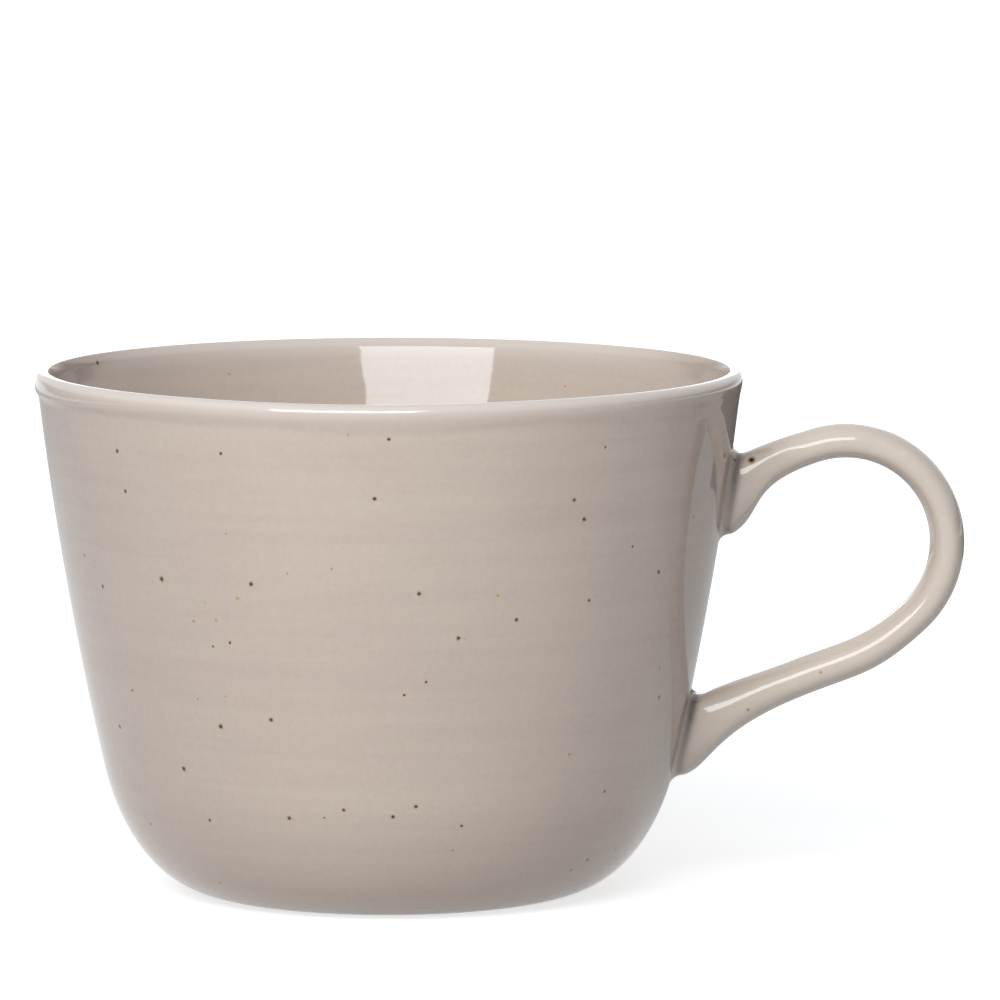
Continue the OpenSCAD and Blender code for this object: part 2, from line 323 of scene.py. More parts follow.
# Waves round the cup that the drawn line keeps: finer ones fade out
ROLL_WAVES = 36
roll_edge = np.fft.irfft(waves * np.exp(-((np.arange(len(waves)) / ROLL_WAVES) ** 2)), COLUMNS)
# Above that edge the roll leaves the wall at ROLL_SLOPE, rises to a low bead and dies out ROLL_H higher up
ROLL_SLOPE = {180: 0.085, 235: 0.06, 247: 0.05, 263: 0.22, 280: 0.15, 297: 0.11, 318: 0.24, 345: 0.085}
ROLL_H, ROLL_FADE = 3.3, 0.45
# Share of the roll that is left where the lip has its bead, and how far below the crest it begins to sink
BEAD_SHARE, CREST_CLEAR = 0.3, 1.6
slope = np.interp(np.degrees(angle), list(ROLL_SLOPE), list(ROLL_SLOPE.values()), period=360)[None, :]
up = (shape[..., 1] - roll_edge[None, :]) / ROLL_H
soft = ROLL_FADE / ROLL_H
up = np.clip(np.where(up < soft, np.maximum(up + soft, 0) ** 2 / (4 * soft), up), 0, 1)
below_crest = ease((CUP_H - shape[..., 1]) / CREST_CLEAR)
roll = slope * ROLL_H * up * (1 - up) ** 2 * below_crest * is_outer[:, None]
roll = roll * (1 - (1 - BEAD_SHARE) * beaded)
print(f"roll up to {roll.max():.2f} mm")

# %% Turn the section
moved = shape + relief[:, :, None] * outward[:, None, :]
moved += np.stack([roll, -dip], -1)
body_rings = np.stack([moved[..., 0] * np.cos(phi), moved[..., 0] * np.sin(phi), moved[..., 1]], -1)
cup_body = skin("cup_body_glazed", body_rings, [0, 0, FOOT_HOLLOW], [0, 0, FLOOR_Z])

# %% [markdown]
# ## The handle and its slip
#
# The handle is a strap with two edges. Seen from the side, its outer and inner edge each leave the wall,
# round the arch and come back on curves of their own, so the strap grows thin and thick between them.
# At both ends it flares and is stuck on with slip, which the potter's finger smooths into a hollow fillet.
# All of it is one surface: a superellipse carried along the two edges, then a ring that follows the bowed
# wall and spreads over it. Drawing it in one go and then cutting it into three pieces keeps the shading
# unbroken where they meet.

# %% Edges of the strap
# Arch: middle radius, thickness and width of the strap, its centre below the upper end, and room for fingers
ARCH_R, STRAP_T, STRAP_W, ARCH_DROP, FINGER_GAP = 15.9, 5.3, 9.4, 7.7, 33.0
# Middle of the lower run: thickness, slope in degrees, reach from the wall and rise above the lower end
RUN_T, RUN_SLOPE, RUN_OUT, RUN_RISE = 5.8, 22.0, 15.8, 8.6
# Ends: height and width, thickness and spread of the slip, and the land that the strap adds on top of it
JOINT_H, JOINT_W, SLIP_T, SLIP_SPREAD, SEAT_LAND = 12.7, 10.8, 1.4, 1.5, 0.4
UPPER_DROP, LOWER_Z = 19.4, 24.3
UPPER_Z = CUP_H - UPPER_DROP
# Angles, in degrees, at which the arch starts and ends
ARCH_START, ARCH_END = 108.0, -47.0
# Points along the upper run, the arch, the way down from it and the lower run
UPPER_N, ARCH_N, DOWN_N, LOWER_N = 120, 200, 60, 120

outer_line = np.concatenate([parts["heel"], parts["wall"]])


def wall_r(height):
    """Outer radius of the wall at a height, read off the section."""
    return np.interp(height, outer_line[:, 1], outer_line[:, 0])


def strap_edge(sign, upper_angle, lower_angle, upper_lead, lower_lead, arch_in, arch_out, run_in, run_out):
    """One edge of the strap, sign +1 outside and -1 inside: a cubic from the upper seat to the arch, the arc
    of the arch, a cubic to the middle of the lower run and a cubic to the lower seat. Leads are lengths over
    which an edge holds its heading."""
    arch_z, run_z = UPPER_Z - ARCH_DROP, LOWER_Z + RUN_RISE
    centre = np.array([wall_r(arch_z) + FINGER_GAP - (ARCH_R - STRAP_T / 2), arch_z])
    run_dir = compass(RUN_SLOPE)
    run = np.array([wall_r(run_z) + RUN_OUT, run_z]) - sign * RUN_T / 2 * left_of(run_dir)[0]
    reach = ARCH_R + sign * STRAP_T / 2
    first, last = (centre + reach * compass(a) for a in (ARCH_START, ARCH_END))
    up_z, low_z = UPPER_Z + sign * JOINT_H / 2, LOWER_Z - sign * JOINT_H / 2
    up_seat = np.array([wall_r(up_z) + SLIP_T + SEAT_LAND, up_z])
    low_seat = np.array([wall_r(low_z) + SLIP_T + SEAT_LAND, low_z])
    arc = centre + reach * compass(ARCH_START + (ARCH_END - ARCH_START) * span(ARCH_N))
    to_arch = first - arch_in * compass(ARCH_START - 90)
    upper = [up_seat, up_seat + upper_lead * compass(upper_angle), to_arch, first]
    down = [last, last + arch_out * compass(ARCH_END - 90), run + run_in * run_dir, run]
    lower = [run, run - run_out * run_dir, low_seat + lower_lead * compass(lower_angle), low_seat]
    upper_part = bezier(upper, span(UPPER_N, skip_first=False))
    return np.concatenate([upper_part, arc, bezier(down, span(DOWN_N)), bezier(lower, span(LOWER_N))])


outer_edge = strap_edge(1, upper_angle=22, lower_angle=16, upper_lead=8, lower_lead=4.6,
                        arch_in=3.6, arch_out=10.9, run_in=10, run_out=15.6)
inner_edge = strap_edge(-1, upper_angle=28, lower_angle=23, upper_lead=6, lower_lead=4.6,
                        arch_in=12.6, arch_out=8.6, run_in=7.8, run_out=2.4)
# 1 at a seat, falling evenly to 0 where the upper run ends and the lower one begins
away_from_wall = np.zeros(ARCH_N + DOWN_N - 2)
near_wall = np.concatenate([1 - span(UPPER_N, skip_first=False), away_from_wall, span(LOWER_N)])
thickness = np.linalg.norm(outer_edge - inner_edge, axis=1)
looked_at = [0, UPPER_N, UPPER_N + ARCH_N // 2, UPPER_N + ARCH_N + DOWN_N - 2, -1]
print("strap thickness in mm:", np.round(thickness[looked_at], 1))

# %% One surface from wall to wall
# Squareness of the section along the strap and at its ends, and how late the ends flare
STRAP_POWER, JOINT_POWER, FLARE_POWER = 2.3, 3.0, 8
# The nose's distance from the outer edge on the upper run in mm, and the share of its move on the lower run
NOSE_DROP, LOWER_NOSE = 2.65, 0.4
SECTION_N, FILLET_N = 72, 24
turn_k = np.arange(SECTION_N) * 2 * pi / SECTION_N


def oval(power):
    """Superellipse: cosine and sine, each raised to 2 / power and kept with its sign."""
    cos_sin = np.stack([np.cos(turn_k), np.sin(turn_k)])[:, None, :]
    return np.sign(cos_sin) * np.abs(cos_sin) ** (2 / np.reshape(power, (1, -1, 1)))


def strap_rings():
    """Superellipse rings between the two edges. Near the wall they grow squarer and wider, and bend back
    with its roundness. The nose, where a ring is widest, lies midway between the edges on the arch. Where the
    upper run thickens it stays NOSE_DROP from the outer edge. On the lower run it moves the other way."""
    share = near_wall[:, None] ** FLARE_POWER
    across, along = oval(STRAP_POWER + (JOINT_POWER - STRAP_POWER) * share[:, 0])
    y = (STRAP_W + (JOINT_W - STRAP_W) * share) / 2 * along
    lift = np.maximum(0.5 - NOSE_DROP / thickness[:, None], 0) * (1 - share)
    on_upper = np.arange(len(thickness)) < len(thickness) / 2
    nose = 0.5 + lift * np.where(on_upper, -1, LOWER_NOSE)[:, None]
    way = np.where(across > 0, nose * (1 - across), nose - (1 - nose) * across)
    x, height = (outer_edge[:, [k]] + way * (inner_edge - outer_edge)[:, [k]] for k in (0, 1))
    return np.stack([x - share * (x - np.sqrt(x * x - y * y)), y, height], -1)


def seat_rings(z_mid, sign, depth, margin):
    """Outline of a joint on the wall grown by depth and spread by a margin: sqrt((r + depth)^2 - y^2)."""
    across, along = oval(JOINT_POWER)
    y = (JOINT_W / 2 + margin)[:, None] * along
    height = z_mid + sign * (JOINT_H / 2 + margin)[:, None] * across
    return np.stack([np.sqrt((wall_r(height) + depth[:, None]) ** 2 - y * y), y, height], -1)


# The fillet is a quarter of an ellipse whose foot sinks a little into the wall, with a skirt hidden below it
FILLET_SINK, SKIRT = 0.03, 0.6
sweep = span(FILLET_N, skip_first=False) * pi / 2
fillet_depth = SLIP_T * (1 - np.cos(sweep)) - FILLET_SINK * np.cos(sweep)
fillet_margin = SLIP_SPREAD * (1 - np.sin(sweep))
depth = np.concatenate([[-SKIRT, -SKIRT / 2], fillet_depth, [SLIP_T + SEAT_LAND / 2]])
margin = np.concatenate([[SLIP_SPREAD] * 2, fillet_margin, [0]])
upper_seat = seat_rings(UPPER_Z, 1, depth, margin)
lower_seat = seat_rings(LOWER_Z, -1, depth, margin)[::-1]
raw = np.concatenate([upper_seat, strap_rings(), lower_seat])
# Whose a ring is: up to 0 the upper slip's, between 0 and 1 the handle's, and from 1 the lower slip's
JUST_IN = 0.01
slip_rows = len(depth) - 1
part_of = np.concatenate([
    np.linspace(-1, 0, slip_rows), [JUST_IN], np.full(len(near_wall), 0.5),
    [1 - JUST_IN], np.linspace(1, 2, slip_rows),
])
print("surface from wall to wall:", len(raw), "rings of", SECTION_N, "points")

# %% [markdown]
# The rings are spaced evenly along the strap and then blurred a little along it, as a damp sponge rounds
# every line that a tool leaves. The blur is a weighted mean of neighbouring rings, so it rounds the corner
# between strap and fillet and leaves the long curves as they are.

# %% Even spacing, sponging and cutting
# Step between rings and width of the sponge's blur in mm, and how many rings it reaches to each side
STEP, SPONGE, SPONGE_REACH = 0.26, 0.34, 5
length = np.concatenate([[0], np.cumsum(np.linalg.norm(np.diff(raw, axis=0), axis=-1).mean(1))])
even = np.linspace(0, length[-1], int(length[-1] / STEP))
before = np.clip(np.searchsorted(length, even, side="right") - 1, 0, len(length) - 2)
way = ((even - length[before]) / (length[before + 1] - length[before]))[:, None, None]
rings = raw[before] * (1 - way) + raw[before + 1] * way
reach = np.arange(-SPONGE_REACH, SPONGE_REACH + 1)
weight = np.exp(-((reach * STEP / SPONGE) ** 2) / 2)
padded = np.concatenate([rings[:1].repeat(SPONGE_REACH, 0), rings, rings[-1:].repeat(SPONGE_REACH, 0)])
shifts = zip(reach + SPONGE_REACH, weight / weight.sum())
rings = sum(w * padded[k:k + len(rings)] for k, w in shifts)
shade = grid_normals(rings)
place = np.interp(even, length, part_of)
cut_up, cut_low = np.searchsorted(place, 0), np.searchsorted(place, 1)


def middle_of(ring):
    """Pole for a closed end: the mean of its ring."""
    return ring.mean(axis=0)


def cut(name, start, stop):
    """The rows from start to stop as a piece of its own, shaded as the whole surface is."""
    rows = rings[start:stop]
    return skin(name, rows, middle_of(rows[0]), middle_of(rows[-1]), shade[start:stop])


CUTS = {
    "upper_slip_fillet": (0, cut_up + 1),
    "handle_strap": (cut_up, cut_low + 1),
    "lower_slip_fillet": (cut_low, len(rings)),
}
upper_slip, handle, lower_slip = (cut(name, *rows) for name, rows in CUTS.items())

# %% [markdown]
# ## Where the glaze is thin or pooled, where light and shade are painted, and where specks are known
#
# A glaze is not one colour. It is paler on the lip, where it runs thin; on the far inside of the lip that
# paler band is painted light. It gathers dark in the hollow around the handle's ends, where shade is painted
# in as well, darkest at the top. A painted texture could hold that, but these places follow the shape, so
# they are worked out from it and stored on the vertices. So is the side that the specks were measured on, one
# by one;
# on the rest of the cup a cell pattern scatters them at the same density.

# %% Thin glaze, painted light inside the lip, and where the specks are known
# How far below the crest the light painted inside reaches and the glaze is thin outside, and the range of
# sines that is the back, the only side where that light is painted
PAINTED_LIGHT_IN, THIN_OUT = 2.4, 1.8
BACK_FROM, BACK_OVER = 0.3, 0.5
# Specks are known on the front of the outside and, above a height, on the far part of the inside
FRONT_FROM, FAR_TO, FACING_OVER = 0.1, 0.4, 0.1
KNOWN_FROM, KNOWN_OVER = 60.0, 3.0
crest_depth = CUP_H - profile[:, 1]
painted_light_inside = np.exp(-((crest_depth / PAINTED_LIGHT_IN) ** 2)) * is_inner
thin_outside = np.exp(-((crest_depth / THIN_OUT) ** 2)) * is_outer
at_back = ease((np.sin(phi) - BACK_FROM) / BACK_OVER)
# Outside, paler where the glaze runs thin; inside, a paler band painted on the back as light
paint(cup_body, "thin_glaze_and_painted_light", painted_light_inside[:, None] * at_back + thin_outside[:, None])
facing = -np.sin(phi) * np.ones_like(z)
front_wall = ease((facing - FRONT_FROM) / FACING_OVER) * is_outer[:, None]
in_sight = ease((z - KNOWN_FROM) / KNOWN_OVER)
far_wall = ease((FAR_TO - facing) / FACING_OVER) * is_inner[:, None] * in_sight
paint(cup_body, "measured", front_wall + far_wall)
print(f"specks are known on {(front_wall + far_wall).mean():.0%} of the body's vertices")

# %% Pooled glaze and painted shade round the ends of the handle
# The pooled glaze and painted shade lie this far out from the strap's end and spread so far to both sides, in
# mm. They are palest at the bottom, with this share of their strength, and full at the top, where the painted
# shade is deepest, reached at this many half heights of the end
POOL_SHADE_OUT, POOL_SHADE_REACH, POOL_SHADE_LEAST, POOL_SHADE_SPAN = 0.5, 0.93, 0.35, 1.1
# The front of the handle, where its specks are known, begins a little behind its middle
FRONT_Y, FRONT_OVER = 0.4, 1.2
from_upper = np.abs(even - even[cut_up] + POOL_SHADE_OUT)
from_lower = np.abs(even[cut_low] - even + POOL_SHADE_OUT)
hollow = np.exp(-((np.minimum(from_upper, from_lower) / POOL_SHADE_REACH) ** 2))
end_z = np.where(even < length[-1] / 2, UPPER_Z, LOWER_Z)
tall = (rings[..., 2] - end_z[:, None]) / (JOINT_H / 2)
shade_by_height = ease((tall + POOL_SHADE_SPAN) / (2 * POOL_SHADE_SPAN))
# Pooled glaze in the hollow round each end, with painted shade that grows darker towards the top
pool_and_shade = hollow[:, None] * (POOL_SHADE_LEAST + (1 - POOL_SHADE_LEAST) * shade_by_height)
front = ease((FRONT_Y - rings[..., 1]) / FRONT_OVER)
for piece, (start, stop) in zip((upper_slip, handle, lower_slip), CUTS.values()):
    paint(piece, "pool_and_shade", pool_and_shade[start:stop])
    paint(piece, "measured", front[start:stop])
print("rings with pooled glaze:", int((hollow > 0.5).sum()))

# %% [markdown]
# ## Glazed stoneware
#
# Stoneware is a dense clay fired near 1250 C. Its glaze is a glass, index about 1.5, fully glossy, over a
# pale body with iron in it. The iron melts through in black specks with an ochre fringe, and smaller ones
# stay ochre. In the shader that is a plain dielectric: the colour below, and a smooth clear reflection on
# top. The specks are as on the cup: 0.2 to 0.5 mm across, and about one to every 2 square centimetres.

# %% Node helpers


def linear(code):
    """Linear RGBA of an sRGB hex colour, by the sRGB curve."""
    channels = np.array([int(code[i:i + 2], 16) / 255 for i in (1, 3, 5)])
    low, high = channels / 12.92, ((channels + 0.055) / 1.055) ** 2.4
    return [*np.where(channels <= 0.04045, low, high), 1.0]


def add(tree, kind, inputs=None, **settings):
    """Adds a node with its settings, and fills its sockets with values or with links from other sockets."""
    made = tree.nodes.new(kind)
    for key, value in settings.items():
        setattr(made, key, value)
    for key, value in (inputs or {}).items():
        if isinstance(value, bpy.types.NodeSocket):
            tree.links.new(value, made.inputs[key])
        else:
            made.inputs[key].default_value = value
    return made


def empty_tree(owner):
    """Turns on an owner's nodes and clears them."""
    owner.use_nodes = True
    owner.node_tree.nodes.clear()
    return owner.node_tree


# %% The specks that were measured
# Angle round from the handle in degrees, height in mm and diameter in mm, on the outside of the wall
IRON_SPECKS = [
    (227.4, 53.2, 0.48), (275.0, 52.5, 0.39), (236.9, 30.9, 0.43), (245.9, 53.5, 0.40), (247.7, 32.5, 0.39),
    (226.2, 23.5, 0.44), (270.6, 17.7, 0.36), (282.0, 45.5, 0.37), (267.6, 67.1, 0.36), (304.0, 62.9, 0.39),
    (249.6, 17.1, 0.37), (275.1, 19.3, 0.35), (292.4, 48.0, 0.34), (301.7, 66.0, 0.35), (260.9, 18.7, 0.32),
    (219.9, 72.4, 0.39), (269.9, 76.2, 0.30), (242.0, 73.4, 0.31), (284.5, 16.0, 0.29), (323.5, 53.3, 0.37),
    (272.6, 36.8, 0.27), (240.8, 44.2, 0.29), (319.6, 8.3, 0.34), (306.7, 50.2, 0.30), (230.7, 15.7, 0.30),
    (220.9, 66.3, 0.33), (206.6, 28.4, 0.40), (330.8, 33.1, 0.38), (209.9, 50.6, 0.37), (276.5, 38.8, 0.26),
    (317.6, 19.5, 0.27), (237.2, 43.4, 0.24), (315.7, 6.9, 0.25), (214.4, 34.8, 0.28), (315.4, 57.9, 0.24),
    (307.1, 73.8, 0.22), (204.2, 54.9, 0.28), (256.9, 17.4, 0.17), (209.8, 13.3, 0.23), (329.6, 9.1, 0.21),
]
OCHRE_SPECKS = [
    (243.1, 51.2, 0.31), (283.2, 12.1, 0.27), (306.5, 26.2, 0.28), (233.6, 47.1, 0.28), (260.3, 56.3, 0.23),
    (238.4, 47.5, 0.25), (263.5, 76.9, 0.22), (241.9, 61.1, 0.22), (283.3, 45.4, 0.20), (238.7, 35.7, 0.20),
    (288.7, 51.9, 0.30), (333.0, 61.0, 0.37), (328.9, 37.8, 0.37), (225.6, 5.0, 0.27), (232.4, 34.9, 0.22),
    (252.6, 55.4, 0.18), (236.5, 50.2, 0.15),
]
# The same three numbers on the inside of the wall. On the front of the handle: the place as seen from the
# side, x and z, and the diameter, all in mm
INSIDE_IRON = [(151.7, 80.2, 0.42)]
INSIDE_OCHRE = [(120.2, 76.5, 0.26), (56.1, 74.7, 0.22)]
HANDLE_IRON = [(56.2, 67.7, 0.62), (53.5, 67.7, 0.42)]
HANDLE_OCHRE = [(55.7, 28.8, 0.30), (67.0, 34.3, 0.30)]
# Specks are drawn larger than they measure, because their edges fade out
IRON_GROWTH, OCHRE_GROWTH = 1.15, 1.6
# The handle's near side, which specks are put on, is in front of this y
NEAR_SIDE_Y = -1.0


def on_cup(outside, inside, on_handle, growth):
    """Centres and radii of specks, in metres: round the outer wall, round the inner wall, and at the vertex
    of the handle's front that is nearest from the side."""
    degrees, height, across = np.array(outside + inside).T
    r = wall_r(height)
    for k in range(len(outside), len(height)):
        inner_line = moved[is_inner, round(degrees[k] * COLUMNS / 360)][::-1]
        r[k] = np.interp(height[k], inner_line[:, 1], inner_line[:, 0])
    points = np.stack([r * np.cos(np.radians(degrees)), r * np.sin(np.radians(degrees)), height], 1)
    near_side = rings[rings[..., 1] < NEAR_SIDE_Y]
    x, up, wide = np.array(on_handle).T
    off = np.hypot(near_side[:, 0] - x[:, None], near_side[:, 2] - up[:, None])
    points = np.concatenate([points, near_side[off.argmin(1)]])
    return points * MM, np.concatenate([across, wide]) * growth / 2 * MM


iron_specks = on_cup(IRON_SPECKS, INSIDE_IRON, HANDLE_IRON, IRON_GROWTH)
ochre_specks = on_cup(OCHRE_SPECKS, INSIDE_OCHRE, HANDLE_OCHRE, OCHRE_GROWTH)
print(len(iron_specks[0]), "iron specks,", len(ochre_specks[0]), "ochre specks")

# %% Ground colour of the glaze
# Sizes of the pattern in mm: level bands, long round the cup and low, clouds and a fine mottle
BAND_LONG, BAND_HIGH, CLOUD, MOTTLE = 60.0, 2.5, 25.0, 0.9
BAND_SHARE, CLOUD_SHARE, MOTTLE_SHARE = 0.7, 0.4, 0.45
# The two tones are reached this far to both sides of the mean
DRIFT = 0.2
COLOURS = {"data_type": "RGBA"}


def ground(tree, at, pale, deep):
    """Colour between a pale and a deep tone, by a weighted sum of three noises."""
    squash = [1 / (size * MM) for size in (BAND_LONG, BAND_LONG, BAND_HIGH)]
    flat = add(tree, "ShaderNodeMapping", {"Vector": at, "Scale": squash})
    bands = add(tree, "ShaderNodeTexNoise", {
        "Vector": flat.outputs[0], "Scale": 1.0, "Detail": 5.0, "Roughness": 0.65})
    clouds = add(tree, "ShaderNodeTexNoise", {"Vector": at, "Scale": 1 / (CLOUD * MM), "Detail": 2.0})
    mottle = add(tree, "ShaderNodeTexNoise", {"Vector": at, "Scale": 1 / (MOTTLE * MM), "Detail": 2.0})
    drift = 0.0
    for noise, weight in ((mottle, MOTTLE_SHARE), (bands, BAND_SHARE), (clouds, CLOUD_SHARE)):
        drift = add(tree, "ShaderNodeMath", {0: noise.outputs["Fac"], 1: weight, 2: drift},
                    operation="MULTIPLY_ADD").outputs[0]
    mean = (BAND_SHARE + CLOUD_SHARE + MOTTLE_SHARE) / 2
    share = add(tree, "ShaderNodeMapRange", {
        "Value": drift, "From Min": mean - DRIFT, "From Max": mean + DRIFT})
    # Sockets 0, 6 and 7 of a colour Mix are its share and its two colours, and output 2 is the mixed one
    return add(tree, "ShaderNodeMix", {0: share.outputs[0], 6: linear(pale), 7: linear(deep)},
               **COLOURS).outputs[2]


# %% Specks in the glaze
# Cells of the scatter, and the least and greatest radius of a speck in one, in mm
IRON_CELL, IRON_R = 5.2, (0.08, 0.30)
OCHRE_CELL, OCHRE_R = 4.3, (0.05, 0.15)
# A distance in radii at which no speck shows
FAR_OFF = 100.0
# Specks are a little ragged: noise of this size moves the place where they are looked up, both in mm
RAGGED, RAGGED_BY = 0.5, 0.16
# Each stain is full up to so many radii from a speck's middle, and gone further out
OCHRE_STAIN = {"full": 0.5, "gone": 1.5, "strength": 0.95, "tint": "#B08E3C"}
IRON_FRINGE = {"full": 1.0, "gone": 2.5, "strength": 0.85, "tint": "#957835"}
IRON_CORE = {"full": 0.75, "gone": 1.25, "strength": 1.0, "tint": "#1E150C"}


def nearest_speck(tree, where, specks):
    """Least distance to any of the specks, in radii of that speck: a chain of distances and minima."""
    least = FAR_OFF
    for point, radius in zip(*specks):
        away = add(tree, "ShaderNodeVectorMath", {0: where, 1: point.tolist()}, operation="DISTANCE")
        radii = add(tree, "ShaderNodeMath", {0: away.outputs["Value"], 1: radius}, operation="DIVIDE")
        least = add(tree, "ShaderNodeMath", {0: radii.outputs[0], 1: least}, operation="MINIMUM").outputs[0]
    return least


def scattered_specks(tree, where, known, cell, radius):
    """Distance to the nearest scattered speck in radii: a 3-D cell pattern whose balls the surface cuts, with
    radii in mm drawn from the cells' random colours, pushed away where the specks are known."""
    cells = add(tree, "ShaderNodeTexVoronoi", {"Vector": where, "Scale": 1 / (cell * MM)})
    size = add(tree, "ShaderNodeMapRange", {
        "Value": cells.outputs["Color"], "To Min": radius[0] / cell, "To Max": radius[1] / cell})
    radii = add(tree, "ShaderNodeMath", {0: cells.outputs["Distance"], 1: size.outputs[0]},
                operation="DIVIDE")
    push = add(tree, "ShaderNodeMath", {0: known, 1: FAR_OFF, 2: radii.outputs[0]}, operation="MULTIPLY_ADD")
    return push.outputs[0]


def stained(tree, colour, radii, full, gone, strength, tint):
    """Colour turned towards a tint near specks: by its strength up to full radii away, eased to 0 at gone."""
    share = add(tree, "ShaderNodeMapRange", {
        "Value": radii, "From Min": full, "From Max": gone, "To Min": strength, "To Max": 0.0},
        interpolation_type="SMOOTHSTEP")
    return add(tree, "ShaderNodeMix", {0: share.outputs[0], 6: colour, 7: linear(tint)}, **COLOURS).outputs[2]


def speckled(tree, at, colour):
    """Colour with specks: ochre ones, and iron ones with an ochre fringe round a black core."""
    known = add(tree, "ShaderNodeAttribute", attribute_name="measured").outputs["Fac"]
    ragged = add(tree, "ShaderNodeTexNoise", {"Vector": at, "Scale": 1 / (RAGGED * MM), "Detail": 1.0})
    where = add(tree, "ShaderNodeVectorMath", {
        0: ragged.outputs["Color"], 1: (RAGGED_BY * MM,) * 3, 2: at}, operation="MULTIPLY_ADD").outputs[0]
    where = add(tree, "ShaderNodeVectorMath", {0: where, 1: (RAGGED_BY / 2 * MM,) * 3},
                operation="SUBTRACT").outputs[0]
    ochre = add(tree, "ShaderNodeMath", {
        0: nearest_speck(tree, where, ochre_specks),
        1: scattered_specks(tree, where, known, OCHRE_CELL, OCHRE_R),
    }, operation="MINIMUM").outputs[0]
    iron = add(tree, "ShaderNodeMath", {
        0: nearest_speck(tree, where, iron_specks),
        1: scattered_specks(tree, where, known, IRON_CELL, IRON_R),
    }, operation="MINIMUM").outputs[0]
    for radii, stain in ((ochre, OCHRE_STAIN), (iron, IRON_FRINGE), (iron, IRON_CORE)):
        colour = stained(tree, colour, radii, **stain)
    return colour


# %% The three glazes
# Ripples that the glaze settles in, in mm: their width, and the height that their noise is scaled by
RIPPLE_WIDE, RIPPLE_HIGH = 3.0, 0.01
GLOSS, GLASS_IOR = 0.05, 1.5
# Tint of thin glaze, also used as painted light inside the lip, and tint of pooled glaze with painted shade
THIN_AND_LIT_TINT, POOL_AND_SHADE_TINT = "#D6C9BE", "#5E554D"


def glaze(name, pale, deep):
    """Glossy glaze: a ground that drifts between two tones, paler where it is thin and where light is painted
    on the far inside of the lip, dark where it pools and shade is painted round the handle's ends, with
    specks and a faintly rippled surface."""
    material = bpy.data.materials.new(name)
    tree = empty_tree(material)
    at = add(tree, "ShaderNodeTexCoord").outputs["Object"]
    colour = ground(tree, at, pale, deep)
    for place, tint in (("thin_glaze_and_painted_light", THIN_AND_LIT_TINT), ("pool_and_shade", POOL_AND_SHADE_TINT)):
        share = add(tree, "ShaderNodeAttribute", attribute_name=place).outputs["Fac"]
        colour = add(tree, "ShaderNodeMix", {0: share, 6: colour, 7: linear(tint)}, **COLOURS).outputs[2]
    colour = speckled(tree, at, colour)
    ripple = add(tree, "ShaderNodeTexNoise", {"Vector": at, "Scale": 1 / (RIPPLE_WIDE * MM), "Detail": 1.0})
    bump = add(tree, "ShaderNodeBump", {
        "Height": ripple.outputs["Fac"], "Strength": 1.0, "Distance": RIPPLE_HIGH * MM})
    shader = add(tree, "ShaderNodeBsdfPrincipled", {
        "Base Color": colour, "Roughness": GLOSS, "IOR": GLASS_IOR, "Normal": bump.outputs[0]})
    add(tree, "ShaderNodeOutputMaterial", {"Surface": shader.outputs[0]})
    print(name, "has", len(tree.nodes), "nodes")
    return material


glazed_stoneware = glaze("glazed_stoneware_greige", "#C7B5A5", "#BEAB9D")
# The handle's glaze is painted lighter than the body's, for the extra light that falls on the handle
painted_lighter_glaze = glaze("glazed_stoneware_painted_lighter", "#D5C6B7", "#D1C1B2")
glazed_slip = glaze("glazed_slip_pooled_and_shaded", "#C9BAAB", "#C3B3A3")

# %% [markdown]
# ## Bare clay of the foot
#
# A cup can't be glazed where it stands in the kiln, so the ring is wiped clean. Fired stoneware is a matt,
# sandy buff there, with grit of half a millimetre that shows as a fine stipple and catches no highlight.

# %% Unglazed ring
# Size of the grit and the height that it roughens the clay by, in mm
GRIT, GRIT_HIGH = 0.5, 0.1
CLAY_ROUGH, CLAY_IOR = 0.85, 1.5


def bare_clay(name):
    """Matt buff clay: two sand colours mixed by a noise as fine as its grit, which also roughens it."""
    material = bpy.data.materials.new(name)
    tree = empty_tree(material)
    at = add(tree, "ShaderNodeTexCoord").outputs["Object"]
    grit = add(tree, "ShaderNodeTexNoise", {"Vector": at, "Scale": 1 / (GRIT * MM), "Detail": 2.0})
    colour = add(tree, "ShaderNodeMix", {0: grit.outputs["Fac"], 6: linear("#CDB99C"), 7: linear("#A8916F")},
                 **COLOURS).outputs[2]
    bump = add(tree, "ShaderNodeBump", {
        "Height": grit.outputs["Fac"], "Strength": 0.6, "Distance": GRIT_HIGH * MM})
    shader = add(tree, "ShaderNodeBsdfPrincipled", {
        "Base Color": colour, "Roughness": CLAY_ROUGH, "IOR": CLAY_IOR, "Normal": bump.outputs[0]})
    add(tree, "ShaderNodeOutputMaterial", {"Surface": shader.outputs[0]})
    return material


cup_body.data.materials.append(glazed_stoneware)
cup_body.data.materials.append(bare_clay("bare_stoneware_foot"))
face_row = np.repeat(np.arange(len(profile) - 1), COLUMNS)
bare = np.isin(zone[face_row + 1], ["ring"]) & np.isin(zone[face_row], ["ring", "slope"])
bare = np.concatenate([bare, np.zeros(2 * COLUMNS, bool)])
cup_body.data.polygons.foreach_set("material_index", bare.astype(np.int32))
handle.data.materials.append(painted_lighter_glaze)
for piece in (upper_slip, lower_slip):
    piece.data.materials.append(glazed_slip)
print("bare faces of the foot:", int(bare.sum()))

# %% [markdown]
# ## Fit the pieces to the frame
#
# Nothing on a cup moves, so every piece rides on the one body, and each stands for the CAD node that it
# redraws and hides.

# %% Ride and replace
for piece, node_name, slot in (
    (cup_body, "cup_body", "glazed_stoneware"),
    (handle, "handle", "glazed_stoneware"),
    (upper_slip, "upper_slip_joint", "glazed_slip"),
    (lower_slip, "lower_slip_joint", "glazed_slip"),
):
    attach(piece, "root")
    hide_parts(node_name)
    print(piece.name, "stands for", node_name)

